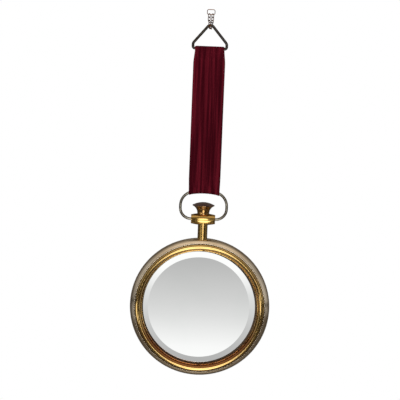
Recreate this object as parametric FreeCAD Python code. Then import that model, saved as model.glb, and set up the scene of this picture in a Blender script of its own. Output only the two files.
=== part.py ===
import FreeCAD, Part
import math
import os

from FreeCAD import Vector

# A mirror made like a large pocket watch, hung from a doubled chain and a velvet strap.
# Millimetres. The origin is where the hanging link bears on its hook, +Z is up, the mirror faces -Y.

# Chain
chain_wire = 1.5
chain_width = 7.2
chain_pitch = 6.8
chain_play = 0.6
chain_roll = 40
saddle_count = 7
strand_spacing = 7.4
saddle_gap = 0.7
saddle_lean = 20
hang_wire = 1.5
hang_side_room = 0.4
hang_eye_height = 9.0
hang_corner_bend = 3.2

# Triangle ring
ring_wire = 6.0
ring_width = 79.0
ring_height = 50.0
ring_apex_bend = 8.0
ring_corner_bend = 4.5
ring_shoulder_bend = 9.0
ring_shoulder_height = 8.0

# Strap
strap_drop = 311.0
strap_width = 70.0
strap_foot_width = 67.0
strap_taper = 30.0
velvet_ply = 1.1
lining_ply = 0.7
eye_length = 26.0
tail_length = 40.0
tail_gap = 0.1
bar_gap = 0.3
bow_seat_gap = 0.4
bow_sway = 0.6
pleat_width = 11.0
pleat_depth = 0.4
pleat_count = 5
stitch_length = 3.2
stitch_size = 0.4
stitch_count = 11
stitch_margin = 6.0
stitch_inset = 4.5
run_overlap = 4.0

# Bow
bow_wire = 6.0
bow_width = 107.8
bow_side_length = 5.7
bow_shoulder_bend = 31.1
bow_top_bend = 150.0
bow_pin_length = 8.5
pin_clearance = 0.08
pin_end_gap = 0.4

# Barrel, stem and crown
barrel_length = 53.0
barrel_diameter = 26.0
barrel_end_diameter = 20.0
barrel_end_gap = 0.6
stem_diameter = 21.5
stem_rise = 41.8
rod_diameter = 8.0
rod_clearance = 0.2
thread_fit = 0.05
rod_in_crown = 12.0
nut_across_flats = 13.0
nut_height = 3.2
washer_diameter = 15.0
washer_thickness = 1.6
rod_tail = 0.6
crown_neck_diameter = 26.5
crown_seat = 2.0
crown_collar = 3.0
crown_flare_waist = 30.8
crown_waist_height = 11.0
crown_rim_diameter = 48.5
crown_rim_height = 19.2
crown_rim_edge = 1.2
crown_cap_height = 6.2
crown_cap_inset = 0.6

# Case
case_diameter = 310.0
case_side_radius = 18.3
case_wall = 1.5
case_back = 14.0
mouth_inset = 10.4
bezel_gap = 0.35
bead_radius = 6.5
bead_wall = 1.8
bead_stand = 2.0
valley_width = 0.5
lip_radius = 1.3
lip_height = 14.3
flange_reach = 4.4
flange_seat_gap = 0.8
flange_thickness = 2.4
skirt_back = 1.0
rebate_depth = 1.3
lip_glass_gap = 0.7
ledge_width = 2.1
ledge_relief = 2.0

# Glass and what is behind it
glass_room = 3.8
glass_thickness = 5.0
glass_bevel = 12.7
glass_edge = 2.6
glass_shift_x = -2.2
glass_shift_z = 0.7
board_front = -4.5
board_thickness = 4.0
board_clearance = 0.3
pad_thickness = 1.0
pad_diameter = 40.0
pad_inset = 55.0
pad_count = 4
foam_diameter = 32.0
foam_inset = 45.5
foam_count = 6

# Back
cover_thickness = 2.0
cover_clearance = 0.4
lug_count = 6
lug_width = 14.0
lug_length = 11.0
lug_thickness = 3.0
lug_seat_gap = 0.1
screw_diameter = 3.5
screw_head_diameter = 7.0
screw_head_height = 1.8
screw_inset = 5.5
screw_clearance = 0.2
screw_length = 5.0
bumper_diameter = 24.0
bumper_inset = 29.0
bumper_count = 4
crown_wall_gap = 0.75

# Chain joints, from the hook down: the strands, then the saddle round the triangle's apex
strand = strand_spacing / 2
hang_eye_width = strand_spacing + chain_width + hang_side_room
link_bend = (chain_width - chain_wire) / 2
row_top = -hang_eye_height
row_middle = row_top - chain_pitch
row_foot = row_middle - chain_pitch


def saddle_joints():
    step = strand_spacing / saddle_count
    chord = math.sqrt(chain_pitch**2 - step**2)
    rise = link_bend * math.sin(math.radians(chain_roll)) + chain_wire / 2
    reach = ring_wire / 2 + rise + saddle_gap
    half = math.atan(chord / 2 / reach)
    outer = reach / math.cos(half)
    lean = math.radians(saddle_lean)
    rear = [(outer * math.sin(turn * half), -outer * math.cos(turn * half)) for turn in (1, 3)]
    y, z = rear[-1]
    rear.append((y - chord * math.sin(lean), z + chord * math.cos(lean)))
    y, z = rear[-1]
    rear.append((0, z + math.sqrt(chord**2 - y**2)))
    front = [(-y, z) for y, z in reversed(rear)]
    return [Vector(-strand + step * i, y, z) for i, (y, z) in enumerate(front + rear)]


# The bow's wire runs in tangent arcs: foot bend, side, shoulder, top
bow_side = (bow_width - bow_wire) / 2
bow_foot = barrel_length / 2 + barrel_end_gap
bow_foot_bend = bow_side - bow_foot
shoulder_x = bow_side - bow_shoulder_bend
shoulder_turn = math.asin(shoulder_x / (bow_top_bend - bow_shoulder_bend))
shoulder_drop = bow_top_bend - (bow_top_bend - bow_shoulder_bend) * math.cos(shoulder_turn)
bow_height = shoulder_drop + bow_side_length + bow_foot_bend

# Heights of the larger pieces
case_radius = case_diameter / 2
stem_height = stem_rise + case_radius
saddle = saddle_joints()
apex_z = row_foot - saddle[0].z
bar_z = apex_z - ring_height
bow_top_z = bar_z - strap_drop
top_centre_z = bow_top_z - bow_top_bend
shoulder_z = bow_top_z - shoulder_drop
barrel_z = bow_top_z - bow_height
case_z = barrel_z - stem_height

# Depths and radii in the case, from its side in to the glass
side_centre = case_radius - case_side_radius
side_inner = case_side_radius - case_wall
case_mouth_diameter = case_diameter - 2 * mouth_inset
mouth_radius = case_mouth_diameter / 2
throat_radius = side_centre + (mouth_radius - side_centre) * side_inner / case_side_radius
bezel_radius = throat_radius - bezel_gap
flange_radius = bezel_radius + flange_reach
flange_front = math.sqrt(side_inner**2 - (flange_radius - side_centre) ** 2) - flange_seat_gap
bead_centre = bezel_radius - bead_radius
bead_height = flange_front + bead_stand + bead_radius
lip_diameter = 2 * (bead_centre - bead_radius - valley_width - 2 * lip_radius)
lip = lip_diameter / 2
skirt_inner = bezel_radius - bead_wall
rebate_radius = lip + rebate_depth
glass_diameter = 2 * (rebate_radius - glass_room)
pad_circle = glass_diameter - 2 * pad_inset
foam_circle = 2 * (skirt_inner - foam_inset)
board_rear = board_front + board_thickness
glass_rear = board_front - pad_thickness
glass_front = glass_rear - glass_thickness
rebate_height = glass_edge + lip_glass_gap - glass_rear
cover_front = case_back - cover_thickness


def side_radius(y, radius):
    return side_centre + math.sqrt(radius**2 - y**2)


cover_radius = side_radius(case_back, case_side_radius) - case_wall - cover_clearance
screw_circle = cover_radius - screw_inset
bumper_circle = 2 * (cover_radius - bumper_inset)


def path(start, *steps):
    edges = []
    for step in steps:
        if isinstance(step, tuple):
            via, end = step
            edges.append(Part.Arc(start, via, end).toShape())
        else:
            end = step
            edges.append(Part.makeLine(start, end))
        start = end
    return Part.Wire(edges)


def bent_wire(route, diameter):
    first = route.Edges[0]
    start = first.valueAt(first.FirstParameter)
    heading = first.tangentAt(first.FirstParameter)
    section = Part.Wire([Part.makeCircle(diameter / 2, start, heading)])
    return route.makePipeShell([section], True, False)


def mirrored(point):
    return Vector(-point.x, point.y, point.z)


def case_point(r, y):
    return Vector(r, y, case_z)


def case_ring(start, *steps):
    section = Part.Face(path(start, *steps, start))
    return section.revolve(case_point(0, 0), Vector(0, 1, 0), 360)


def disc(radius, y_from, y_to, x=0, z=0):
    return Part.makeCylinder(radius, y_to - y_from, Vector(x, y_from, case_z + z), Vector(0, 1, 0))


def spread(count, radius, start=0):
    angles = [math.radians(start + 360 * i / count) for i in range(count)]
    return [(radius * math.cos(angle), radius * math.sin(angle)) for angle in angles]


def post(radius, z_from, z_to):
    return Part.makeCylinder(radius, z_to - z_from, Vector(0, 0, z_from))


def chain_link(start, end, roll):
    along = end - start
    half = (along.Length + chain_wire + chain_play) / 2
    along.normalize()
    outward = Vector(0, along.z, -along.y).normalize()
    turn = math.radians(roll)
    across = along.cross(outward) * math.cos(turn) + outward * math.sin(turn)
    middle = (start + end) * 0.5
    side = across * link_bend
    run = along * (half - link_bend)
    tip = along * half
    route = path(
        middle - run + side,
        middle + run + side,
        (middle + tip, middle + run - side),
        middle - run - side,
        (middle - tip, middle - run + side),
    )
    return bent_wire(route, chain_wire)


def chain():
    left = [Vector(-strand, 0, row_top), Vector(-strand, 0, row_middle)]
    joints = left + [Vector(0, 0, apex_z) + point for point in saddle]
    joints += [mirrored(point) for point in reversed(left)]
    names = ["upper_link_left", "lower_link_left"]
    names += [f"saddle_link_{i + 1}" for i in range(saddle_count)]
    names += ["lower_link_right", "upper_link_right"]
    pairs = zip(joints, joints[1:])
    return {
        name: chain_link(start, end, chain_roll * (-1) ** i)
        for i, (name, (start, end)) in enumerate(zip(names, pairs))
    }


def hanging_link():
    half_width = (hang_eye_width + hang_wire) / 2 - hang_corner_bend
    half_height = (hang_eye_height + hang_wire) / 2 - hang_corner_bend
    middle = Vector(0, 0, -hang_eye_height / 2)
    edges = []
    for quarter in range(4):
        turn = math.radians(90 * quarter)
        facing = Vector(math.cos(turn), 0, math.sin(turn))
        ahead = Vector(-math.sin(turn), 0, math.cos(turn))
        reach, run = (half_width, half_height) if quarter % 2 == 0 else (half_height, half_width)
        corner = middle + facing * reach + ahead * run
        side = facing * hang_corner_bend
        diagonal = (facing + ahead) * (hang_corner_bend / math.sqrt(2))
        edges.append(Part.makeLine(corner + side - ahead * (2 * run), corner + side))
        edges.append(Part.Arc(corner + side, corner + diagonal, corner + ahead * hang_corner_bend).toShape())
    return bent_wire(Part.Wire(edges), hang_wire)


def triangle_ring():
    side = (ring_width - ring_wire) / 2
    shoulder_in = side - ring_shoulder_bend
    rise = ring_height - ring_shoulder_height - ring_apex_bend
    lean = math.asin((ring_apex_bend - ring_shoulder_bend) / math.hypot(shoulder_in, rise))
    slope = math.atan2(rise, shoulder_in) - lean
    out = Vector(math.sin(slope), 0, math.cos(slope))
    half_out = Vector(math.sin((slope + math.pi / 2) / 2), 0, math.cos((slope + math.pi / 2) / 2))
    corner = Vector(side - ring_corner_bend, 0, bar_z + ring_corner_bend)
    diagonal = ring_corner_bend * math.sqrt(0.5)
    shoulder = Vector(shoulder_in, 0, bar_z + ring_shoulder_height)
    foot = Vector(corner.x, 0, bar_z)
    bend = corner + Vector(diagonal, 0, -diagonal)
    side_foot = Vector(side, 0, corner.z)
    side_top = Vector(side, 0, shoulder.z)
    shoulder_middle = shoulder + half_out * ring_shoulder_bend
    leg_foot = shoulder + out * ring_shoulder_bend
    leg_top = Vector(0, 0, apex_z - ring_apex_bend) + out * ring_apex_bend
    route = path(
        mirrored(foot),
        foot,
        (bend, side_foot),
        side_top,
        (shoulder_middle, leg_foot),
        leg_top,
        (Vector(0, 0, apex_z), mirrored(leg_top)),
        mirrored(leg_foot),
        (mirrored(shoulder_middle), mirrored(side_top)),
        mirrored(side_foot),
        (mirrored(bend), mirrored(foot)),
    )
    return bent_wire(route, ring_wire)


def on_shoulder(turn):
    x = shoulder_x + bow_shoulder_bend * math.sin(turn)
    return Vector(x, 0, shoulder_z + bow_shoulder_bend * math.cos(turn))


def bow():
    pin = Vector(barrel_length / 2 - bow_pin_length + pin_end_gap, 0, barrel_z)
    foot = Vector(bow_foot, 0, barrel_z)
    diagonal = bow_foot_bend * math.sqrt(0.5)
    foot_middle = Vector(bow_foot + diagonal, 0, barrel_z + bow_foot_bend - diagonal)
    foot_end = Vector(bow_side, 0, barrel_z + bow_foot_bend)
    side_end = on_shoulder(math.pi / 2)
    shoulder_middle = on_shoulder((math.pi / 2 + shoulder_turn) / 2)
    shoulder_end = on_shoulder(shoulder_turn)
    route = path(
        pin,
        foot,
        (foot_middle, foot_end),
        side_end,
        (shoulder_middle, shoulder_end),
        (Vector(0, 0, bow_top_z), mirrored(shoulder_end)),
        (mirrored(shoulder_middle), mirrored(side_end)),
        mirrored(foot_end),
        (mirrored(foot_middle), mirrored(foot)),
        mirrored(pin),
    )
    return bent_wire(route, bow_wire)


# The ribbon's section, in the YZ plane. A ply lies between two distances from the lining's inner face.
bar_eye = ring_wire / 2 + bar_gap
bow_eye = bow_wire / 2 + bow_seat_gap + bow_sway
bow_eye_z = bow_top_z + bow_sway
lining_face = tail_gap + lining_ply
velvet_face = lining_face + velvet_ply
strap_top_width = ring_width - ring_wire - 2 * ring_corner_bend
ply_faces = {"lining": (tail_gap, lining_face), "velvet": (lining_face, velvet_face)}


def eye_line(centre_z, radius, way, distance, run_z, tail_z):
    turn = math.asin(radius / eye_length)
    reach = radius + distance
    drop = reach * math.sin(turn) + (reach * math.cos(turn) - distance) / math.tan(turn)
    crease = centre_z - way * drop
    tangent = centre_z - way * reach * math.sin(turn)
    tangent_y = reach * math.cos(turn)
    return [
        Vector(0, -distance, run_z),
        Vector(0, -distance, crease),
        Vector(0, -tangent_y, tangent),
        (Vector(0, 0, centre_z + way * reach), Vector(0, tangent_y, tangent)),
        Vector(0, distance, crease),
        Vector(0, distance, tail_z),
    ]


def backwards(line):
    start, crease, tangent, (top, far_tangent), far_crease, end = line
    return [end, far_crease, far_tangent, (top, tangent), crease, start]


def eye_section(centre_z, radius, way, run_z, faces):
    near, far = faces
    tail_z = centre_z - way * tail_length
    outer = eye_line(centre_z, radius, way, far, run_z, tail_z)
    inner = backwards(eye_line(centre_z, radius, way, near, run_z, tail_z))
    return Part.Face(path(*outer, *inner, outer[0]))


def strap_outline():
    half = strap_width / 2
    spare = eye_length
    corners = [
        (strap_top_width / 2, bar_z + spare),
        (strap_top_width / 2, bar_z),
        (half, bar_z - strap_taper),
        (half, bow_top_z + strap_taper),
        (strap_foot_width / 2, bow_top_z),
        (strap_foot_width / 2, bow_top_z - spare),
    ]
    right = [Vector(x, -spare, z) for x, z in corners]
    left = [mirrored(point) for point in reversed(right)]
    return Part.Face(path(*right, *left, right[0])).extrude(Vector(0, 2 * spare, 0))


def strap_head(faces):
    section = eye_section(bar_z, bar_eye, 1, bow_eye_z + eye_length + run_overlap, faces)
    section.translate(Vector(-strap_width / 2, 0, 0))
    return section.extrude(Vector(strap_width, 0, 0))


# The foot of the strap follows the bow: its section is turned along the top arc, then along each shoulder
def strap_foot(faces):
    section = eye_section(bow_eye_z, bow_eye, -1, bow_eye_z + tail_length + run_overlap, faces)
    top_centre = Vector(0, 0, top_centre_z)
    shoulder_centre = Vector(shoulder_x, 0, shoulder_z)
    across = Vector(0, 1, 0)
    top_turn = math.degrees(shoulder_turn)
    inner_reach = bow_shoulder_bend - bow_wire
    shoulder_end = math.degrees(math.asin((strap_width / 2 - shoulder_x) / inner_reach))
    right_section = section.rotated(top_centre, across, top_turn)
    left_section = section.rotated(top_centre, across, -top_turn)
    middle = left_section.revolve(top_centre, across, 2 * top_turn)
    right = right_section.revolve(shoulder_centre, across, shoulder_end - top_turn)
    left = right.mirror(Vector(0, 0, 0), Vector(1, 0, 0))
    return middle.fuse([right, left])


def strap_ply(name):
    faces = ply_faces[name]
    ply = strap_head(faces).fuse(strap_foot(faces))
    return ply.common(strap_outline()).removeSplitter()


def strap_velvet():
    bend = pleat_width**2 / (8 * pleat_depth) + pleat_depth / 2
    top = bar_z - eye_length
    length = top - (bow_eye_z + eye_length)
    pitch = strap_width / pleat_count
    velvet = strap_ply("velvet")
    for i in range(pleat_count):
        x = (i - (pleat_count - 1) / 2) * pitch
        axis = Vector(x, pleat_depth - velvet_face - bend, top)
        velvet = velvet.cut(Part.makeCylinder(bend, length, axis, Vector(0, 0, -1)))
    return velvet


def strap_stitching():
    rows = [eye_length + stitch_inset, tail_length - stitch_inset]
    heights = [bar_z - row for row in rows] + [bow_eye_z + row for row in rows]
    run = strap_top_width - 2 * stitch_margin - stitch_length
    stitches = []
    for z in heights:
        for i in range(stitch_count):
            x = -run / 2 + run * i / (stitch_count - 1) - stitch_length / 2
            corner = Vector(x, velvet_face, z - stitch_size / 2)
            stitches.append(Part.makeBox(stitch_length, stitch_size, stitch_size, corner))
    return Part.makeCompound(stitches)


rod_radius = rod_diameter / 2
rod_hole = rod_radius + rod_clearance
thread_hole = rod_radius + thread_fit
washer_foot = case_z + case_radius - case_wall - washer_thickness
nut_foot = washer_foot - nut_height
crown_neck_height = barrel_diameter / 2 - crown_seat
rod_top = barrel_z + crown_neck_height + rod_in_crown


def barrel_form():
    end = barrel_length / 2
    left_foot = Vector(-end, 0, barrel_z)
    left_rim = Vector(-end, 0, barrel_z + barrel_end_diameter / 2)
    crest = Vector(0, 0, barrel_z + barrel_diameter / 2)
    section = path(left_foot, left_rim, (crest, mirrored(left_rim)), mirrored(left_foot), left_foot)
    return Part.Face(section).revolve(Vector(0, 0, barrel_z), Vector(1, 0, 0), 360)


def barrel():
    keg = barrel_form().cut(post(rod_hole, barrel_z - barrel_diameter, barrel_z + barrel_diameter))
    for way in (-1, 1):
        mouth = Vector(way * barrel_length / 2, 0, barrel_z)
        bore = bow_wire / 2 + pin_clearance
        keg = keg.cut(Part.makeCylinder(bore, bow_pin_length, mouth, Vector(-way, 0, 0)))
    return keg


# The space inside the case wall, or the whole case with radius case_side_radius
def case_form(radius):
    rear_y = case_back * radius / case_side_radius
    front_r = side_centre + (mouth_radius - side_centre) * radius / case_side_radius
    front_y = -math.sqrt(radius**2 - (front_r - side_centre) ** 2)
    rear = case_point(side_radius(rear_y, radius), rear_y)
    widest = case_point(side_centre + radius, 0)
    return case_ring(case_point(0, rear_y), rear, (widest, case_point(front_r, front_y)), case_point(0, front_y))


def stem():
    tube = post(stem_diameter / 2, case_z + side_centre, barrel_z)
    tube = tube.cut(post(rod_hole, case_z + side_centre, barrel_z))
    return tube.cut(case_form(case_side_radius)).cut(barrel_form())


def stem_rod():
    return post(rod_radius, nut_foot - rod_tail, rod_top)


def stem_washer():
    blank = post(washer_diameter / 2, washer_foot, case_z + case_radius)
    return blank.common(case_form(side_inner)).cut(post(rod_hole, washer_foot, case_z + case_radius))


def stem_nut():
    corner = nut_across_flats / math.sqrt(3)
    points = [Vector(x, y, nut_foot) for x, y in spread(6, corner)]
    hexagon = Part.Face(path(*points, points[0])).extrude(Vector(0, 0, nut_height))
    return hexagon.cut(post(thread_hole, nut_foot, washer_foot))


def crown_point(radius, height):
    return Vector(radius, 0, barrel_z + crown_neck_height + height)


def crown_turned(start, *steps):
    section = Part.Face(path(start, *steps, start))
    return section.revolve(Vector(0, 0, 0), Vector(0, 0, 1), 360)


crown_top = crown_rim_height + crown_rim_edge


def crown_body():
    neck = crown_neck_diameter / 2
    rim = crown_rim_diameter / 2
    waist = crown_point(crown_flare_waist / 2, crown_waist_height)
    form = crown_turned(
        crown_point(0, 0),
        crown_point(neck, 0),
        crown_point(neck, crown_collar),
        (waist, crown_point(rim, crown_rim_height)),
        crown_point(rim, crown_top),
        crown_point(0, crown_top),
    )
    return form.cut(barrel_form()).cut(post(thread_hole, barrel_z, rod_top + rod_clearance))


def crown_cap():
    edge = crown_rim_diameter / 2 - crown_cap_inset
    bend = (edge**2 + crown_cap_height**2) / (2 * crown_cap_height)
    half_rise = math.sqrt(bend**2 - edge**2 / 4) - (bend - crown_cap_height)
    return crown_turned(
        crown_point(0, crown_top),
        crown_point(edge, crown_top),
        (crown_point(edge / 2, crown_top + half_rise), crown_point(0, crown_top + crown_cap_height)),
    )


def case_body():
    shell = case_form(case_side_radius).cut(case_form(side_inner))
    mouth_y = -math.sqrt(case_side_radius**2 - (mouth_radius - side_centre) ** 2)
    throat_y = mouth_y * side_inner / case_side_radius
    rear_y = case_back * side_inner / case_side_radius
    shell = shell.cut(disc(throat_radius, mouth_y - case_wall, throat_y))
    shell = shell.cut(disc(side_radius(rear_y, side_inner), rear_y, case_back + case_wall))
    return shell.cut(post(rod_hole, case_z + side_centre, case_z + case_radius + case_wall))


def bezel():
    bead_base = bead_radius - bead_height
    bead_inner = bead_radius - bead_wall
    lip_base = lip_radius - lip_height
    flange_rear = flange_thickness - flange_front
    ledge = rebate_radius + ledge_width
    return case_ring(
        case_point(lip, -rebate_height),
        case_point(lip, lip_base),
        (case_point(lip + lip_radius, -lip_height), case_point(lip + 2 * lip_radius, lip_base)),
        case_point(bead_centre - bead_radius, bead_base),
        (case_point(bead_centre, -bead_height), case_point(bezel_radius, bead_base)),
        case_point(bezel_radius, -flange_front),
        case_point(flange_radius, -flange_front),
        case_point(flange_radius, flange_rear),
        case_point(bezel_radius, flange_rear),
        case_point(bezel_radius, -skirt_back),
        case_point(skirt_inner, -skirt_back),
        case_point(skirt_inner, bead_base),
        (case_point(bead_centre, bead_wall - bead_height), case_point(bead_centre - bead_inner, bead_base)),
        case_point(ledge, bead_base + ledge_relief),
        case_point(ledge, board_front),
        case_point(rebate_radius, board_front),
        case_point(rebate_radius, -rebate_height),
    )


def mirror_glass():
    edge = glass_diameter / 2
    plate = case_ring(
        case_point(0, glass_rear),
        case_point(edge, glass_rear),
        case_point(edge, glass_rear - glass_edge),
        case_point(edge - glass_bevel, glass_front),
        case_point(0, glass_front),
    )
    plate.translate(Vector(glass_shift_x, 0, glass_shift_z))
    return plate


def adhesive_pads():
    spots = [(0, 0)] + spread(pad_count, pad_circle / 2, 45)
    pads = [
        disc(pad_diameter / 2, glass_rear, board_front, glass_shift_x + x, glass_shift_z + z)
        for x, z in spots
    ]
    return Part.makeCompound(pads)


def backing_board():
    return disc(skirt_inner - board_clearance, board_front, board_rear)


def foam_blocks():
    spots = spread(foam_count, foam_circle / 2)
    return Part.makeCompound([disc(foam_diameter / 2, board_rear, cover_front, x, z) for x, z in spots])


def screw_form(x, z, clearance):
    head = Part.makeCone(
        screw_head_diameter / 2 + clearance,
        screw_diameter / 2 + clearance,
        screw_head_height,
        Vector(x, case_back, case_z + z),
        Vector(0, -1, 0),
    )
    return head.fuse(disc(screw_diameter / 2 + clearance, case_back - screw_length, case_back, x, z))


def cover_lugs():
    inside = case_form(side_inner - lug_seat_gap)
    lugs = []
    for i, (x, z) in enumerate(spread(lug_count, screw_circle)):
        corner = Vector(screw_circle - lug_length / 2, cover_front - lug_thickness, case_z - lug_width / 2)
        lug = Part.makeBox(2 * lug_length, lug_thickness, lug_width, corner)
        lug.rotate(case_point(0, 0), Vector(0, -1, 0), 360 * i / lug_count)
        lugs.append(lug.common(inside).cut(screw_form(x, z, thread_fit)))
    return Part.makeCompound(lugs)


def back_cover():
    cover = disc(cover_radius, cover_front, case_back)
    for x, z in spread(lug_count, screw_circle):
        cover = cover.cut(screw_form(x, z, screw_clearance))
    return cover


def cover_screws():
    return Part.makeCompound([screw_form(x, z, 0) for x, z in spread(lug_count, screw_circle)])


# The bumpers stand out past the crown, so that the case hangs flat against a wall
def wall_bumpers():
    rear = crown_rim_diameter / 2 + crown_wall_gap
    spots = spread(bumper_count, bumper_circle / 2, 45)
    return Part.makeCompound([disc(bumper_diameter / 2, case_back, rear, x, z) for x, z in spots])


nodes = {
    "hanging_link": hanging_link(),
    **chain(),
    "triangle_ring": triangle_ring(),
    "strap_velvet": strap_velvet(),
    "strap_lining": strap_ply("lining"),
    "strap_stitching": strap_stitching(),
    "bow": bow(),
    "barrel": barrel(),
    "stem": stem(),
    "stem_rod": stem_rod(),
    "stem_washer": stem_washer(),
    "stem_nut": stem_nut(),
    "crown_body": crown_body(),
    "crown_cap": crown_cap(),
    "case_body": case_body(),
    "bezel": bezel(),
    "mirror_glass": mirror_glass(),
    "adhesive_pads": adhesive_pads(),
    "backing_board": backing_board(),
    "foam_blocks": foam_blocks(),
    "cover_lugs": cover_lugs(),
    "back_cover": back_cover(),
    "cover_screws": cover_screws(),
    "wall_bumpers": wall_bumpers(),
}

os.makedirs("parts", exist_ok=True)
for name, shape in nodes.items():
    shape.exportStep(f"parts/{name}.step")
    print(name, shape.isValid(), len(shape.Solids), round(shape.Volume, 1))
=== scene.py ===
import math

import bpy
from mathutils import Matrix, Vector, noise


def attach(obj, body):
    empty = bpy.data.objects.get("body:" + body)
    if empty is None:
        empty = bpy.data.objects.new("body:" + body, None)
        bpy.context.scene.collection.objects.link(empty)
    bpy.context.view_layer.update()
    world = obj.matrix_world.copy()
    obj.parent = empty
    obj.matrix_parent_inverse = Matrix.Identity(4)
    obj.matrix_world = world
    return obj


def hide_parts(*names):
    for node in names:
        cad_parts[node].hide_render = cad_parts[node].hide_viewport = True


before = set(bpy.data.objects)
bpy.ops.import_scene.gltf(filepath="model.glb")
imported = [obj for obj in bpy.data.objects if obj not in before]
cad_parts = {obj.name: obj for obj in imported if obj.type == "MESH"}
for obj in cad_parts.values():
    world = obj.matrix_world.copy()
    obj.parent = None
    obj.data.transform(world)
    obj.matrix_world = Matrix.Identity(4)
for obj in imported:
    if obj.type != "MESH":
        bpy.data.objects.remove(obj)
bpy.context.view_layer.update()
scene = bpy.context.scene
scene.view_settings.view_transform = "Standard"
mm = 0.001
print("frame loaded:", len(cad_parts), "nodes")


# camera, aimed at the middle of the photo's frame and rolled as the photo leans
photoView = {
    "aim": (-8.3, 0.0, -414.0), "distance": 2800.0,  # mm
    "elevation": 7.5, "roll": 2.25,  # degrees
    "lens": 114.6, "sensor": 36, "farthest": 50,  # mm, mm and metres
}


def addCamera(view):
    tilt = math.radians(view["elevation"])
    forward = Vector((0, math.cos(tilt), -math.sin(tilt)))
    right = Vector((1, 0, 0))
    up = right.cross(forward)
    turn = math.radians(view["roll"])
    rolledRight = right * math.cos(turn) + up * math.sin(turn)
    rolledUp = up * math.cos(turn) - right * math.sin(turn)
    data = bpy.data.cameras.new("photoCamera")
    data.lens = view["lens"]
    data.sensor_width = view["sensor"]
    data.clip_end = view["farthest"]
    camera = bpy.data.objects.new("photoCamera", data)
    place = (Vector(view["aim"]) - forward * view["distance"]) * mm
    camera.matrix_world = Matrix((
        (rolledRight.x, rolledUp.x, -forward.x, place.x),
        (rolledRight.y, rolledUp.y, -forward.y, place.y),
        (rolledRight.z, rolledUp.z, -forward.z, place.z),
        (0, 0, 0, 1),
    ))
    scene.collection.objects.link(camera)
    scene.camera = camera


addCamera(photoView)
print("camera set")


# small helpers for node trees: a value is a socket to link or a plain number, colour or vector
def link(tree, fromSocket, toSocket):
    tree.links.new(fromSocket, toSocket)


def feed(tree, value, socket):
    if isinstance(value, bpy.types.NodeSocket):
        link(tree, value, socket)
    else:
        socket.default_value = value


def addNode(tree, kind, **settings):
    node = tree.nodes.new(kind)
    for key, value in settings.items():
        setattr(node, key, value)
    return node


def addNoise(tree, place, scale, detail, roughness):
    node = addNode(tree, "ShaderNodeTexNoise")
    node.inputs["Scale"].default_value = scale
    node.inputs["Detail"].default_value = detail
    node.inputs["Roughness"].default_value = roughness
    link(tree, place, node.inputs["Vector"])
    return node.outputs["Fac"]


def addRamp(tree, value, low, high):
    node = addNode(tree, "ShaderNodeMapRange", interpolation_type="SMOOTHSTEP")
    node.inputs["From Min"].default_value = low
    node.inputs["From Max"].default_value = high
    link(tree, value, node.inputs["Value"])
    return node.outputs["Result"]


def addMath(tree, operation, *values):
    node = addNode(tree, "ShaderNodeMath", operation=operation)
    for socket, value in zip(node.inputs, values):
        feed(tree, value, socket)
    return node.outputs[0]


def addInverse(tree, value):
    return addMath(tree, "SUBTRACT", 1.0, value)


def addVectorMath(tree, operation, *values):
    node = addNode(tree, "ShaderNodeVectorMath", operation=operation)
    for socket, value in zip(node.inputs, values):
        feed(tree, value, socket)
    return node.outputs["Value" if operation in ("LENGTH", "DOT_PRODUCT") else "Vector"]


def addSplit(tree, value):
    node = addNode(tree, "ShaderNodeSeparateXYZ")
    link(tree, value, node.inputs[0])
    return node.outputs


mixSockets = {"factor": 0, "first": 6, "second": 7, "result": 2}  # a Mix node's sockets for colour


def addMix(tree, factor, first, second, blend="MIX"):
    node = addNode(tree, "ShaderNodeMix", data_type="RGBA", blend_type=blend)
    feed(tree, factor, node.inputs[mixSockets["factor"]])
    feed(tree, first, node.inputs[mixSockets["first"]])
    feed(tree, second, node.inputs[mixSockets["second"]])
    return node.outputs[mixSockets["result"]]


def addPlace(tree):
    return addNode(tree, "ShaderNodeTexCoord").outputs["Object"]


def addStretchedNoise(tree, stretch, detail, roughness):
    place = addVectorMath(tree, "MULTIPLY", addPlace(tree), stretch)
    return addNoise(tree, place, 1, detail, roughness)


def newGroup(name, inputs, outputs):
    group = bpy.data.node_groups.new(name, "ShaderNodeTree")
    for label, kind, value in inputs:
        socket = group.interface.new_socket(label, in_out="INPUT", socket_type=kind)
        socket.default_value = value
    for label, kind in outputs:
        group.interface.new_socket(label, in_out="OUTPUT", socket_type=kind)
    return group, group.nodes.new("NodeGroupInput"), group.nodes.new("NodeGroupOutput")


colour = "NodeSocketColor"
number = "NodeSocketFloat"
vector = "NodeSocketVector"
surfaceOutputs = [("Color", colour), ("Roughness", number), ("Height", number)]


# tarnish in soft patches, fine hairlines and small pits: every brass, bronze and steel piece
# in a ring it also gets painted shade low down, on the slope that faces inwards: the tarnish colour laid
# there stands in for a dim reflection
# a noise is its scale or its stretch, its detail and its roughness
wearAndPaintedShade = {
    "patches": (26, 5, 0.55), "patchEdge": (0.4, 0.75),
    "specks": (420, 3, 0.6), "speckEdge": (0.62, 0.75), "speckStain": 0.25, "speckPit": 0.6,
    "hairlines": ((160, 160, 2600), 3, 0.5),
    "stainRoughness": 1.2, "hairlineRoughness": 0.5,
    "paintedShadeRadius": (0.1335, 0.1370), "paintedShadeBelow": (0.02, 0.085),  # metres from the ring's centre
}


# painted shade: the part of a ring's inward slope that lies below its centre and inside the given radius
# takes the tarnish colour, in place of a dim reflection
def addLowPaintedShade(group, place, entry):
    offset = addVectorMath(group, "SUBTRACT", place, entry.outputs["Ring Centre"])
    radius = addVectorMath(group, "LENGTH", addVectorMath(group, "MULTIPLY", offset, (1, 0, 1)))
    depth = addMath(group, "MULTIPLY", addSplit(group, offset)["Z"], -1.0)
    below = addRamp(group, depth, *wearAndPaintedShade["paintedShadeBelow"])
    inside = addInverse(group, addRamp(group, radius, *wearAndPaintedShade["paintedShadeRadius"]))
    return addMath(group, "MULTIPLY", addMath(group, "MULTIPLY", below, inside), entry.outputs["Low Painted Shade"])


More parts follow.
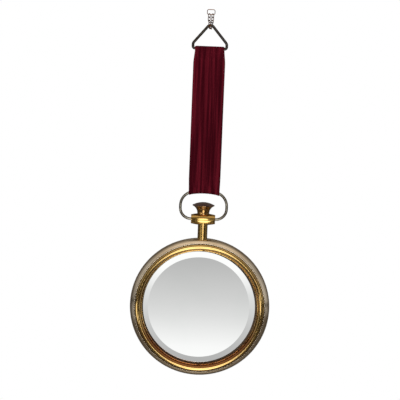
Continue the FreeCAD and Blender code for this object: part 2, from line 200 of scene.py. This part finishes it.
def makeMetalWearAndPaintedShade():
    group, entry, leave = newGroup("metalWearAndPaintedShade", [
        ("Metal", colour, (0.8, 0.6, 0.3, 1)), ("Tarnish", colour, (0.2, 0.12, 0.05, 1)),
        ("Tarnish Amount", number, 0.4), ("Roughness", number, 0.2), ("Roughness Spread", number, 0.1),
        ("Ring Centre", vector, (0, 0, 0)), ("Low Painted Shade", number, 0.0),
    ], surfaceOutputs)
    place = addPlace(group)
    patches = addRamp(group, addNoise(group, place, *wearAndPaintedShade["patches"]), *wearAndPaintedShade["patchEdge"])
    specks = addRamp(group, addNoise(group, place, *wearAndPaintedShade["specks"]), *wearAndPaintedShade["speckEdge"])
    hairlines = addStretchedNoise(group, *wearAndPaintedShade["hairlines"])
    tarnishAndPaintedShade = addMath(group, "MAXIMUM", patches, addMath(group, "MULTIPLY", specks, wearAndPaintedShade["speckStain"]))
    tarnishAndPaintedShade = addMath(group, "MULTIPLY", tarnishAndPaintedShade, entry.outputs["Tarnish Amount"])
    # here the painted shade low on the ring joins the tarnish
    tarnishAndPaintedShade = addMath(group, "MAXIMUM", tarnishAndPaintedShade, addLowPaintedShade(group, place, entry))
    link(group, addMix(group, tarnishAndPaintedShade, entry.outputs["Metal"], entry.outputs["Tarnish"]), leave.inputs["Color"])
    stained = addMath(group, "MULTIPLY", tarnishAndPaintedShade, wearAndPaintedShade["stainRoughness"])
    scratched = addMath(group, "MULTIPLY", hairlines, wearAndPaintedShade["hairlineRoughness"])
    spread = addMath(group, "ADD", stained, scratched)
    rough = addMath(group, "MULTIPLY", spread, entry.outputs["Roughness Spread"])
    link(group, addMath(group, "ADD", entry.outputs["Roughness"], rough), leave.inputs["Roughness"])
    pits = addMath(group, "SUBTRACT", hairlines, addMath(group, "MULTIPLY", specks, wearAndPaintedShade["speckPit"]))
    link(group, pits, leave.inputs["Height"])
    return group


# pile that lies this way and that in long streaks, with the grain of single tufts
pileLay = {
    "wide": ((150, 60, 4), 3, 0.5), "wideShare": 0.6,
    "thin": ((560, 200, 6), 3, 0.6), "thinShare": 0.4,
    "tufts": ((1800, 1800, 900), 2, 0.5), "tuftMiddle": 0.5, "tuftShade": 0.6,
    "layEdge": (0.4, 0.64), "layHeight": 0.7, "roughness": 0.95, "layPolish": 0.15,
}


def makePile():
    group, entry, leave = newGroup("pile", [
        ("Deep", colour, (0.04, 0.002, 0.005, 1)), ("Light", colour, (0.12, 0.01, 0.02, 1)),
        ("Streaks", number, 1.0),
    ], surfaceOutputs)
    wide = addMath(group, "MULTIPLY", addStretchedNoise(group, *pileLay["wide"]), pileLay["wideShare"])
    thin = addMath(group, "MULTIPLY", addStretchedNoise(group, *pileLay["thin"]), pileLay["thinShare"])
    tufts = addStretchedNoise(group, *pileLay["tufts"])
    lay = addRamp(group, addMath(group, "ADD", wide, thin), *pileLay["layEdge"])
    lay = addMath(group, "MULTIPLY", lay, entry.outputs["Streaks"])
    grain = addMath(group, "SUBTRACT", tufts, pileLay["tuftMiddle"])
    shade = addMath(group, "ADD", lay, addMath(group, "MULTIPLY", grain, pileLay["tuftShade"]))
    link(group, addMix(group, shade, entry.outputs["Deep"], entry.outputs["Light"]), leave.inputs["Color"])
    polish = addMath(group, "MULTIPLY", lay, pileLay["layPolish"])
    link(group, addMath(group, "SUBTRACT", pileLay["roughness"], polish), leave.inputs["Roughness"])
    height = addMath(group, "MULTIPLY", lay, pileLay["layHeight"])
    link(group, addMath(group, "ADD", height, tufts), leave.inputs["Height"])
    return group


# plain weave of round yarns, for the lining and the thread
weaveForm = {
    "distortion": 0.4, "fuzz": (2600, 2, 0.55), "bare": 0.55, "fuzzShare": 0.9,
    "roughness": 0.95, "yarnPolish": 0.15,
}


def makeWeave():
    group, entry, leave = newGroup("weave", [
        ("Yarn", colour, (0.1, 0.02, 0.03, 1)), ("Gap", colour, (0.02, 0.005, 0.008, 1)),
        ("Yarns", number, 900.0),
    ], surfaceOutputs)
    place = addPlace(group)
    waves = []
    for direction in ("X", "Z"):
        wave = addNode(group, "ShaderNodeTexWave", bands_direction=direction)
        wave.inputs["Distortion"].default_value = weaveForm["distortion"]
        link(group, entry.outputs["Yarns"], wave.inputs["Scale"])
        link(group, place, wave.inputs["Vector"])
        waves.append(wave.outputs["Fac"])
    over = addMath(group, "MAXIMUM", *waves)
    fuzz = addMath(group, "MULTIPLY", addNoise(group, place, *weaveForm["fuzz"]), weaveForm["fuzzShare"])
    cloth = addMath(group, "MULTIPLY", over, addMath(group, "ADD", weaveForm["bare"], fuzz))
    link(group, addMix(group, cloth, entry.outputs["Gap"], entry.outputs["Yarn"]), leave.inputs["Color"])
    polish = addMath(group, "MULTIPLY", over, weaveForm["yarnPolish"])
    link(group, addMath(group, "SUBTRACT", weaveForm["roughness"], polish), leave.inputs["Roughness"])
    link(group, over, leave.inputs["Height"])
    return group


# a cast or cut grain with dust in it, for rubber, foam, board and tape
grainForm = {"dust": (60, 6, 0.65), "dustEdge": (0.4, 0.75), "dustRoughness": 0.4}


def makeGrain():
    group, entry, leave = newGroup("grain", [
        ("Body", colour, (0.05, 0.05, 0.05, 1)), ("Dust", colour, (0.2, 0.2, 0.19, 1)),
        ("Dust Amount", number, 0.3), ("Grain Size", number, 900.0), ("Roughness", number, 0.7),
    ], surfaceOutputs)
    place = addPlace(group)
    cells = addNode(group, "ShaderNodeTexNoise")
    link(group, place, cells.inputs["Vector"])
    link(group, entry.outputs["Grain Size"], cells.inputs["Scale"])
    dust = addRamp(group, addNoise(group, place, *grainForm["dust"]), *grainForm["dustEdge"])
    dust = addMath(group, "MULTIPLY", dust, entry.outputs["Dust Amount"])
    link(group, addMix(group, dust, entry.outputs["Body"], entry.outputs["Dust"]), leave.inputs["Color"])
    dusty = addMath(group, "MULTIPLY", dust, grainForm["dustRoughness"])
    link(group, addMath(group, "ADD", entry.outputs["Roughness"], dusty), leave.inputs["Roughness"])
    link(group, cells.outputs["Fac"], leave.inputs["Height"])
    return group


# silvering with faint cloudy haze, its polish perfect
silverForm = {"clouds": (14, 5, 0.6), "cloudEdge": (0.45, 0.75)}


def makeSilvering():
    group, entry, leave = newGroup("silvering", [
        ("Silver", colour, (0.98, 0.99, 0.98, 1)), ("Haze", colour, (0.9, 0.93, 0.91, 1)),
        ("Haze Amount", number, 0.3),
    ], [("Color", colour)])
    clouds = addNoise(group, addPlace(group), *silverForm["clouds"])
    haze = addRamp(group, clouds, *silverForm["cloudEdge"])
    haze = addMath(group, "MULTIPLY", haze, entry.outputs["Haze Amount"])
    link(group, addMix(group, haze, entry.outputs["Silver"], entry.outputs["Haze"]), leave.inputs["Color"])
    return group


groups = {
    "metalWearAndPaintedShade": makeMetalWearAndPaintedShade(), "pile": makePile(), "weave": makeWeave(), "grain": makeGrain(),
    "silvering": makeSilvering(),
}
print("shader groups built:", ", ".join(groups))


# values go to the group, constants to the shader, and a relief is a bump's strength and its depth in mm
def makeMaterial(name, groupName, values, constants, relief=None):
    material = bpy.data.materials.new(name)
    material.use_nodes = True
    tree = material.node_tree
    shader = tree.nodes["Principled BSDF"]
    effect = addNode(tree, "ShaderNodeGroup", node_tree=groups[groupName])
    for label, value in values.items():
        effect.inputs[label].default_value = value
    for label, value in constants.items():
        shader.inputs[label].default_value = value
    link(tree, effect.outputs["Color"], shader.inputs["Base Color"])
    if "Roughness" in effect.outputs:
        link(tree, effect.outputs["Roughness"], shader.inputs["Roughness"])
    if relief:
        strength, depth = relief
        bump = addNode(tree, "ShaderNodeBump")
        bump.inputs["Strength"].default_value = strength
        bump.inputs["Distance"].default_value = depth * mm
        link(tree, effect.outputs["Height"], bump.inputs["Height"])
        link(tree, bump.outputs["Normal"], shader.inputs["Normal"])
    return material


# a screen colour as the linear one that shaders use
def rgb(red, green, blue):
    channels = [c / 255 for c in (red, green, blue)]
    return tuple(c / 12.92 if c <= 0.04045 else ((c + 0.055) / 1.055) ** 2.4 for c in channels) + (1,)


# each metal: its clean colour, its tarnish, how much of it, its roughness and spread,
# how metallic its patina leaves it, and its lacquer
metals = {
    # the bezel's tarnish colour is also the colour of its painted shade, low on the inner slope
    "bezelBrass": (rgb(180, 148, 86), rgb(134, 74, 18), 0.3, 0.1, 0.04, 1.0, 0.5),
    "caseBrass": (rgb(214, 198, 174), rgb(150, 128, 98), 0.35, 0.13, 0.08, 1.0, 0.0),
    "kegBrass": (rgb(186, 150, 80), rgb(114, 76, 26), 0.35, 0.12, 0.06, 1.0, 0.5),
    "crownBrass": (rgb(160, 120, 66), rgb(84, 48, 20), 0.35, 0.16, 0.08, 1.0, 0.4),
    "crownBronze": (rgb(120, 96, 88), rgb(66, 44, 32), 0.4, 0.34, 0.12, 0.8, 0.0),
    "bowBrass": (rgb(122, 117, 105), rgb(72, 63, 50), 0.35, 0.14, 0.06, 1.0, 0.0),
    "triangleBronze": (rgb(62, 58, 55), rgb(58, 46, 24), 0.4, 0.22, 0.1, 1.0, 0.0),
    "chainCopper": (rgb(112, 68, 28), rgb(40, 22, 9), 0.4, 0.22, 0.1, 1.0, 0.0),
    "zincSteel": (rgb(186, 188, 188), rgb(120, 116, 104), 0.4, 0.3, 0.15, 0.9, 0.0),
}
metalRelief = (0.02, 0.02)
bezelCorners = [Vector(corner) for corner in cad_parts["bezel"].bound_box]
bezelCentre = sum(bezelCorners, Vector()) / len(bezelCorners)
# painted shade on the bezel's lower inner slope, standing in for a dim reflection
ringPaintedShade = {"bezelBrass": {"Ring Centre": bezelCentre, "Low Painted Shade": 0.9}}
materials = {}
for metalName, (metal, tarnish, amount, rough, spread, metallic, lacquer) in metals.items():
    metalValues = {
        "Metal": metal, "Tarnish": tarnish, "Tarnish Amount": amount,
        "Roughness": rough, "Roughness Spread": spread,
    }
    metalValues.update(ringPaintedShade.get(metalName, {}))
    metalConstants = {"Metallic": metallic, "Coat Weight": lacquer}
    materials[metalName] = makeMaterial(metalName, "metalWearAndPaintedShade", metalValues, metalConstants, metalRelief)

# the strap's cloth and thread: the group, its values, the shader's constants and the relief
velvetValues = {"Deep": rgb(50, 1, 10), "Light": rgb(92, 14, 28), "Streaks": 1.0}
velvetSheen = {
    "Sheen Weight": 0.12, "Sheen Roughness": 0.35, "Sheen Tint": rgb(190, 60, 80), "Specular IOR Level": 0.1,
}
liningValues = {"Yarn": rgb(92, 30, 38), "Gap": rgb(36, 8, 12), "Yarns": 900.0}
threadValues = {"Yarn": rgb(132, 44, 54), "Gap": rgb(60, 14, 20), "Yarns": 2200.0}
cloths = {
    "velvet": ("pile", velvetValues, velvetSheen, (0.4, 0.25)),
    "lining": ("weave", liningValues, {"Sheen Weight": 0.15}, (0.5, 0.2)),
    "thread": ("weave", threadValues, {"Sheen Weight": 0.2}, (0.5, 0.1)),
}
for clothName, clothLook in cloths.items():
    materials[clothName] = makeMaterial(clothName, *clothLook)

# what lies behind the glass: body, dust, how much of it, grains to the metre, roughness and grain depth
grains = {
    "hardboard": (rgb(88, 66, 44), rgb(124, 104, 80), 0.3, 700.0, 0.6, 0.1),
    "bumperRubber": (rgb(38, 37, 36), rgb(104, 100, 94), 0.35, 1100.0, 0.65, 0.12),
    "foamGrey": (rgb(64, 64, 64), rgb(120, 118, 112), 0.3, 1800.0, 0.9, 0.5),
    "tapeWhite": (rgb(206, 204, 196), rgb(150, 146, 136), 0.3, 1500.0, 0.8, 0.2),
}
grainStrength = 0.3
for grainName, (body, dust, amount, size, rough, depth) in grains.items():
    grainValues = {"Body": body, "Dust": dust, "Dust Amount": amount, "Grain Size": size, "Roughness": rough}
    materials[grainName] = makeMaterial(grainName, "grain", grainValues, {}, (grainStrength, depth))

mirrorValues = {"Silver": rgb(253, 254, 253), "Haze": rgb(246, 249, 247), "Haze Amount": 0.3}
mirrorPolish = {"Metallic": 1.0, "Roughness": 0.0}
materials["silvered"] = makeMaterial("silvered", "silvering", mirrorValues, mirrorPolish)

nodeFinish = {
    "hanging_link": "chainCopper", "triangle_ring": "triangleBronze", "bow": "bowBrass",
    "barrel": "kegBrass", "stem": "kegBrass",
    "stem_rod": "zincSteel", "stem_washer": "zincSteel", "stem_nut": "zincSteel",
    "crown_body": "crownBrass", "crown_cap": "crownBronze",
    "case_body": "caseBrass", "bezel": "bezelBrass", "mirror_glass": "silvered",
    "adhesive_pads": "tapeWhite", "backing_board": "hardboard", "foam_blocks": "foamGrey",
    "cover_lugs": "caseBrass", "back_cover": "caseBrass", "cover_screws": "zincSteel",
    "wall_bumpers": "bumperRubber",
}
for nodeName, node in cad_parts.items():
    finish = nodeFinish.get(nodeName, "chainCopper" if "link" in nodeName else "velvet")
    node.data.materials.clear()
    node.data.materials.append(materials[finish])
print("finishes on nodes:", len(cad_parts))


# the strap: one ribbon folded round the triangle's bar and round the bow, its tails sewn down behind
strap = {
    "barZ": -82.924, "bowEyeZ": -393.324, "barEye": 3.3, "bowEye": 4.0, "eyeLength": 26.0, "eyeSteps": 18,
    "tailLength": 40.0, "tailStep": 2.0, "foldStep": 1.6, "frontStep": 3.0, "across": 84,
    "topHalf": 31.6, "midHalf": 34.3, "footHalf": 33.5, "taper": 34.0,
    "velvetMiddle": 1.35, "velvetPly": 1.1,
    "liningMiddle": 0.45, "liningPly": 0.6, "liningInset": 2.2,
    "bowTopBend": 150.0, "bowShoulderBend": 31.1, "bowTopZ": -393.924,
    "shoulderX": 19.8, "shoulderZ": -426.684, "bowReach": (18, 70),  # the foot follows the bow's curve
    # folds: a grain is a noise's fineness across, its fineness along and its layer
    "pleats": 5, "pleatPitch": 14.0, "pleatHalf": 5.5, "pleatDepth": 0.45, "flatEnd": (24, 60),
    "wrinkle": 0.9, "wrinkleGrain": (0.16, 0.012, 3.1), "crease": 0.5, "creaseGrain": (0.5, 0.02, 7.7),
    "gather": 0.4, "gatherPitch": 4.4, "gatherWander": 2.2, "gatherGrain": (0.09, 0.0, 1.3),
    "gatherReach": 46.0, "headReach": 30.0, "headShare": 0.35,
    "curl": 1.3, "curlWidth": 3.0,
}


def smoothStep(value, low, high):
    t = min(1.0, max(0.0, (value - low) / (high - low)))
    return t * t * (3 - 2 * t)


def eyePoints(centreZ, radius, way, distance):
    turn = math.asin(radius / strap["eyeLength"])
    reach = radius + distance
    drop = reach * math.sin(turn) + (reach * math.cos(turn) - distance) / math.tan(turn)
    points = []
    sweep = math.pi + 2 * turn
    for i in range(strap["eyeSteps"] + 1):
        angle = -sweep / 2 + sweep * i / strap["eyeSteps"]
        points.append((reach * math.sin(angle), centreZ + way * reach * math.cos(angle)))
    crease = centreZ - way * drop
    return crease, points


def runTo(points, end, step):
    y, z = points[-1]
    length = math.hypot(end[0] - y, end[1] - z)
    count = max(1, round(length / step))
    for i in range(1, count + 1):
        points.append((y + (end[0] - y) * i / count, z + (end[1] - z) * i / count))


def strapSection(distance):
    headCrease, head = eyePoints(strap["barZ"], strap["barEye"], 1, distance)
    footCrease, foot = eyePoints(strap["bowEyeZ"], strap["bowEye"], -1, distance)
    head = head[::-1]  # from the rear over the bar to the front
    points = [(distance, strap["barZ"] - strap["tailLength"])]
    runTo(points, (distance, headCrease), strap["tailStep"])
    runTo(points, head[0], strap["foldStep"])
    points += head[1:]
    runTo(points, (-distance, headCrease), strap["foldStep"])
    runTo(points, (-distance, footCrease), strap["frontStep"])
    runTo(points, foot[0], strap["foldStep"])
    points += foot[1:]
    runTo(points, (distance, footCrease), strap["foldStep"])
    runTo(points, (distance, strap["bowEyeZ"] + strap["tailLength"]), strap["tailStep"])
    return points


# how far the bow's curve lies below its top at x, and how much of that the strap takes up at z
def bowDrop(x):
    x = abs(x)
    edge = strap["bowTopBend"] * strap["shoulderX"] / (strap["bowTopBend"] - strap["bowShoulderBend"])
    if x < edge:
        return strap["bowTopBend"] - math.sqrt(strap["bowTopBend"] ** 2 - x * x)
    across = x - strap["shoulderX"]
    return strap["bowTopZ"] - strap["shoulderZ"] - math.sqrt(strap["bowShoulderBend"] ** 2 - across * across)


def bowFollow(z):
    full, none = strap["bowReach"]
    return 1 - smoothStep(z, strap["bowEyeZ"] + full, strap["bowEyeZ"] + none)


def strapHalf(z):
    head = smoothStep(z, strap["barZ"] - strap["taper"], strap["barZ"])
    foot = 1 - smoothStep(z, strap["bowTopZ"], strap["bowTopZ"] + strap["taper"])
    half = strap["midHalf"] + (strap["topHalf"] - strap["midHalf"]) * head
    return half + (strap["footHalf"] - strap["midHalf"]) * foot


def foldNoise(x, along, grain):
    across, lengthwise, layer = grain
    return noise.noise(Vector((x * across, along * lengthwise, layer)))


def ribbonLift(x, z, along):
    flat, full = strap["flatEnd"]
    middle = smoothStep(z, strap["bowEyeZ"] + flat, strap["bowEyeZ"] + full)
    middle *= 1 - smoothStep(z, strap["barZ"] - full, strap["barZ"] - flat)
    lift = strap["pleatDepth"] * middle
    for i in range(strap["pleats"]):
        offset = (x - (i - (strap["pleats"] - 1) / 2) * strap["pleatPitch"]) / strap["pleatHalf"]
        lift -= strap["pleatDepth"] * max(0.0, 1 - offset * offset) * middle
    lift += strap["wrinkle"] * (0.5 + 0.5 * foldNoise(x, along, strap["wrinkleGrain"])) * middle
    lift += strap["crease"] * (0.5 + 0.5 * foldNoise(x, along, strap["creaseGrain"])) * middle
    nearFoot = 1 - smoothStep(z, strap["bowEyeZ"], strap["bowEyeZ"] + strap["gatherReach"])
    nearHead = smoothStep(z, strap["barZ"] - strap["headReach"], strap["barZ"])
    phase = strap["gatherWander"] * foldNoise(x, along, strap["gatherGrain"])
    wave = 0.5 + 0.5 * math.cos(2 * math.pi * x / strap["gatherPitch"] + phase)
    lift += strap["gather"] * (nearFoot + strap["headShare"] * nearHead) * wave
    return lift


def settle(piece):
    graph = bpy.context.evaluated_depsgraph_get()
    settled = bpy.data.meshes.new_from_object(piece.evaluated_get(graph))
    piece.modifiers.clear()
    piece.data = settled
    for polygon in settled.polygons:
        polygon.use_smooth = True


# detail 1 folds the ribbon and curls its edges, detail 0 leaves it flat
def makeRibbon(name, distance, ply, inset, detail):
    section = strapSection(distance)
    count = len(section)
    lengths = [0.0]
    for (y0, z0), (y1, z1) in zip(section, section[1:]):
        lengths.append(lengths[-1] + math.hypot(y1 - y0, z1 - z0))
    rows = []
    for i, (y, z) in enumerate(section):
        y0, z0 = section[max(i - 1, 0)]
        y1, z1 = section[min(i + 1, count - 1)]
        run = math.hypot(y1 - y0, z1 - z0)
        normal = ((z1 - z0) / run, -(y1 - y0) / run)  # away from the lining
        half = strapHalf(z) - inset
        row = []
        for j in range(strap["across"] + 1):
            x = (2 * j / strap["across"] - 1) * half
            edge = max(0.0, (abs(x) - (half - strap["curlWidth"])) / strap["curlWidth"])
            lift = detail * ribbonLift(x, z, lengths[i]) - detail * strap["curl"] * edge * edge
            drop = bowDrop(x) * bowFollow(z)
            row.append(Vector((x, y + normal[0] * lift, z + normal[1] * lift - drop)) * mm)
        rows.append(row)
    vertices = [point for row in rows for point in row]
    wide = strap["across"] + 1
    faces = [
        (i * wide + j, i * wide + j + 1, (i + 1) * wide + j + 1, (i + 1) * wide + j)
        for i in range(count - 1) for j in range(wide - 1)
    ]
    mesh = bpy.data.meshes.new(name)
    mesh.from_pydata(vertices, [], faces)
    mesh.update()
    ribbon = bpy.data.objects.new(name, mesh)
    scene.collection.objects.link(ribbon)
    solid = ribbon.modifiers.new("ply", "SOLIDIFY")
    solid.thickness = ply * mm
    solid.offset = 0
    settle(ribbon)
    return ribbon, lengths[-1]


velvetRibbon, velvetLength = makeRibbon("velvetRibbon", strap["velvetMiddle"], strap["velvetPly"], 0.0, 1.0)
velvetRibbon.data.materials.append(materials["velvet"])
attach(velvetRibbon, "strap")
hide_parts("strap_velvet")

liningTape, liningLength = makeRibbon(
    "liningTape", strap["liningMiddle"], strap["liningPly"], strap["liningInset"], 0.0)
liningTape.data.materials.append(materials["lining"])
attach(liningTape, "strap")
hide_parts("strap_lining")
print("strap made, velvet length", round(velvetLength, 1), "mm")


# stitches that hold the folded tails, each a short thread pulled into the pile
stitching = {
    "rows": (30.5, 35.5), "count": 11, "run": 49.8, "length": 3.2, "radius": 0.3, "seat": 2.0,
    "endShare": 0.45, "dip": 0.45, "rings": 7, "sides": 8,
}


def addStitch(vertices, faces, x, y, z):
    rings = stitching["rings"]
    sides = stitching["sides"]
    first = len(vertices)
    for i in range(rings):
        t = i / (rings - 1)
        fullness = stitching["endShare"] + (1 - stitching["endShare"]) * math.sin(math.pi * t)
        swell = stitching["radius"] * fullness
        dip = stitching["dip"] * (2 * t - 1) ** 2
        for k in range(sides):
            angle = 2 * math.pi * k / sides
            vertices.append((
                (x + (t - 0.5) * stitching["length"]) * mm,
                (y - dip + swell * math.cos(angle)) * mm,
                (z + swell * math.sin(angle)) * mm,
            ))
    for i in range(rings - 1):
        for k in range(sides):
            here = first + i * sides + k
            beside = first + i * sides + (k + 1) % sides
            faces.append((here, beside, beside + sides, here + sides))
    faces.append(tuple(first + k for k in reversed(range(sides))))
    faces.append(tuple(first + (rings - 1) * sides + k for k in range(sides)))


def makeStitching():
    vertices = []
    faces = []
    heights = [(strap["barZ"] - row, False) for row in stitching["rows"]]
    heights += [(strap["bowEyeZ"] + row, True) for row in stitching["rows"]]
    for z, atFoot in heights:
        for i in range(stitching["count"]):
            x = -stitching["run"] / 2 + stitching["run"] * i / (stitching["count"] - 1)
            lift = ribbonLift(x, z, 0.0) if atFoot else 0.0
            addStitch(vertices, faces, x, stitching["seat"] + lift, z - bowDrop(x) * bowFollow(z))
    mesh = bpy.data.meshes.new("tailStitches")
    mesh.from_pydata(vertices, [], faces)
    for polygon in mesh.polygons:
        polygon.use_smooth = True
    piece = bpy.data.objects.new("tailStitches", mesh)
    scene.collection.objects.link(piece)
    mesh.materials.append(materials["thread"])
    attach(piece, "strap")
    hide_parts("strap_stitching")


makeStitching()
print("stitches sewn")


# floor below the hanging mirror, nearly white to the camera
floorSetup = {
    "z": -1.15, "radius": 0.5, "corners": 96, "tone": (0.86, 0.86, 0.85, 1), "roughness": 0.9, "glow": 0.85,
}


def addFloor():
    corners = []
    for i in range(floorSetup["corners"]):
        angle = 2 * math.pi * i / floorSetup["corners"]
        x = math.cos(angle) * floorSetup["radius"]
        y = math.sin(angle) * floorSetup["radius"]
        corners.append((x, y, floorSetup["z"]))
    mesh = bpy.data.meshes.new("studioFloor")
    mesh.from_pydata(corners, [], [tuple(range(len(corners)))])
    floor = bpy.data.objects.new("studioFloor", mesh)
    scene.collection.objects.link(floor)
    material = bpy.data.materials.new("studioFloor")
    material.use_nodes = True
    tree = material.node_tree
    shader = tree.nodes["Principled BSDF"]
    shader.inputs["Base Color"].default_value = floorSetup["tone"]
    shader.inputs["Roughness"].default_value = floorSetup["roughness"]
    glow = addNode(tree, "ShaderNodeEmission")
    seen = addNode(tree, "ShaderNodeLightPath").outputs["Is Camera Ray"]
    mix = addNode(tree, "ShaderNodeMixShader")
    link(tree, addMath(tree, "MULTIPLY", seen, floorSetup["glow"]), mix.inputs[0])
    link(tree, shader.outputs[0], mix.inputs[1])
    link(tree, glow.outputs[0], mix.inputs[2])
    link(tree, mix.outputs[0], tree.nodes["Material Output"].inputs["Surface"])
    mesh.materials.append(material)
    floor.visible_glossy = False


addFloor()
print("floor laid")


# the room: tones by height in degrees above the level, before and behind the object
# metal sees the walls and the soft boxes, brighter or darker by their angle from the mirror's axis
# the mirror sees clean cards instead: one in its plate, one in its bevel, and another round them
room = {
    "walls": [
        (-90, 0.4), (-70, 0.25), (-50, 0.13), (0, 0.1), (15, 0.2),
        (30, 0.36), (45, 0.65), (60, 0.85), (90, 0.8),
    ],
    "behind": [(-90, 0.2), (-45, 0.13), (-10, 0.14), (10, 0.16), (40, 0.2), (60, 0.3), (90, 0.8)],
    "behindFrom": (95.0, 120.0),
    "abreast": [
        (-90, 1.0), (-46, 0.9), (-34, 0.75), (-24, 1.2), (-15, 1.45),
        (-6, 1.1), (6, 0.75), (25, 0.85), (90, 1.0),
    ],
    "wallTint": (1.0, 0.9, 0.78, 1), "axisHeight": -12.2,
    "plate": [(-90, 1.0), (-14.3, 1.0), (-12.4, 0.69), (-9.9, 0.46), (90, 0.46)], "plateEdge": (3.6, 4.4),
    "bevel": [
        (-90, 0.456), (-36, 0.456), (-23, 0.55), (-12.4, 0.665),
        (-6, 0.75), (-1.5, 0.87), (5, 1.0), (90, 1.0),
    ],
    "bevelEdge": (24.5, 40.0), "around": [(-90, 0.75), (-20, 0.6), (20, 0.45), (90, 0.8)],
    "fill": (0.5, 0.5, 0.5, 1), "backdrop": (1, 1, 1, 1), "rampTop": 2.0,
}

# soft boxes in that room: bearing (to the right of the front), half width, lowest and highest, softness, tone
boxes = {
    "left": (-42, 17, -21, -10.3, 0.7, 3.2),
    "leftFar": (-82, 22, -24, 4, 4, 0.28),
    "leftHigh": (-84, 28, 4, 36, 6, 0.5),
    "right": (84, 30, -14, 36, 6, 0.5),
    "stripTop": (0, 9, 9, 45, 4, 0.6),
    "stripHigh": (0, 10, -5, 16, 2, 4.5),
    "stripLow": (1, 10, -31, -20, 3, 4.5),
    "low": (3, 15, -64, -29, 3, 4.6),
    "dark": (0, 110, -9.7, -6, 0.4, 0.06),
    "front": (8, 15, -9.7, -6, 0.4, 3.6),
}


# tones by an angle from -90 to 90 degrees
def addAngleRamp(tree, angle, stops):
    ramp = addNode(tree, "ShaderNodeValToRGB")
    level = addMath(tree, "ADD", addMath(tree, "DIVIDE", angle, 180.0), 0.5)
    link(tree, level, ramp.inputs["Fac"])
    marks = ramp.color_ramp.elements
    for stop in stops[1:-1]:
        marks.new((stop[0] + 90) / 180)
    for mark, stop in zip(marks, stops):
        share = stop[1] / room["rampTop"]  # a ramp's own colours end at 1
        mark.color = (share, share, share, 1)
    return addMath(tree, "MULTIPLY", ramp.outputs["Color"], room["rampTop"])


def addSoftBox(tree, tone, bearing, height, box):
    at, half, low, high, soft, level = box
    offset = addMath(tree, "ABSOLUTE", addMath(tree, "SUBTRACT", bearing, at))
    within = addInverse(tree, addRamp(tree, offset, half - soft, half + soft))
    above = addRamp(tree, height, low - soft, low + soft)
    below = addInverse(tree, addRamp(tree, height, high - soft, high + soft))
    mask = addMath(tree, "MULTIPLY", addMath(tree, "MULTIPLY", within, above), below)
    return addMix(tree, mask, tone, (level, level, level, 1))


def addMetalTone(tree, height, bearing, apart):
    walls = addAngleRamp(tree, height, room["walls"])
    behind = addAngleRamp(tree, height, room["behind"])
    turned = addRamp(tree, addMath(tree, "ABSOLUTE", bearing), *room["behindFrom"])
    tone = addMix(tree, turned, walls, behind)
    tone = addMix(tree, 1.0, tone, room["wallTint"], "MULTIPLY")
    for box in boxes.values():
        tone = addSoftBox(tree, tone, bearing, height, box)
    abreast = addAngleRamp(tree, addMath(tree, "SUBTRACT", apart, 90.0), room["abreast"])
    return addMix(tree, 1.0, tone, abreast, "MULTIPLY")


def addMirrorTone(tree, height, apart):
    plate = addAngleRamp(tree, height, room["plate"])
    bevel = addAngleRamp(tree, height, room["bevel"])
    around = addAngleRamp(tree, height, room["around"])
    tone = addMix(tree, addRamp(tree, apart, *room["bevelEdge"]), bevel, around)
    return addMix(tree, addRamp(tree, apart, *room["plateEdge"]), plate, tone)


def addRoom():
    world = bpy.data.worlds.new("room")
    world.use_nodes = True
    world.cycles.sampling_method = "NONE"  # each ray sees its own side of the room
    scene.world = world
    tree = world.node_tree
    way = addNode(tree, "ShaderNodeTexCoord").outputs["Generated"]
    parts = addSplit(tree, way)
    height = addMath(tree, "DEGREES", addMath(tree, "ARCSINE", parts["Z"]))
    towards = addMath(tree, "MULTIPLY", parts["Y"], -1.0)
    bearing = addMath(tree, "DEGREES", addMath(tree, "ARCTAN2", parts["X"], towards))
    dip = math.radians(room["axisHeight"])
    axis = (0, -math.cos(dip), math.sin(dip))  # what the plate faces
    facing = addVectorMath(tree, "DOT_PRODUCT", way, axis)
    apart = addMath(tree, "DEGREES", addMath(tree, "ARCCOSINE", facing))
    metalTone = addMetalTone(tree, height, bearing, apart)
    mirrorTone = addMirrorTone(tree, height, apart)
    paths = addNode(tree, "ShaderNodeLightPath").outputs
    tone = addMix(tree, paths["Is Singular Ray"], metalTone, mirrorTone)
    tone = addMix(tree, paths["Is Glossy Ray"], room["fill"], tone)
    tone = addMix(tree, paths["Is Camera Ray"], tone, room["backdrop"])
    link(tree, tone, tree.nodes["Background"].inputs["Color"])


addRoom()
print("room built:", len(boxes), "soft boxes")

# area lamps for cloth and board: place, size, watts, and what they are aimed at
lamps = {
    "leftBox": ((-1.5, -1.3, -0.1), 1.1, 16.0, (0, 0, -0.45)),
    "topBox": ((0.3, -1.1, 1.1), 0.9, 9.0, (0, 0, -0.4)),
    "lowBox": ((-0.5, -0.9, -1.5), 0.8, 5.0, (0, 0, -0.6)),
}


def addLamps():
    for name, (place, size, watts, aim) in lamps.items():
        data = bpy.data.lights.new(name, "AREA")
        data.size = size
        data.energy = watts
        lamp = bpy.data.objects.new(name, data)
        lamp.location = place
        lamp.visible_glossy = False
        lamp.rotation_euler = (Vector(aim) - Vector(place)).to_track_quat("-Z", "Y").to_euler()
        scene.collection.objects.link(lamp)


addLamps()
print("studio lit:", ", ".join(lamps))
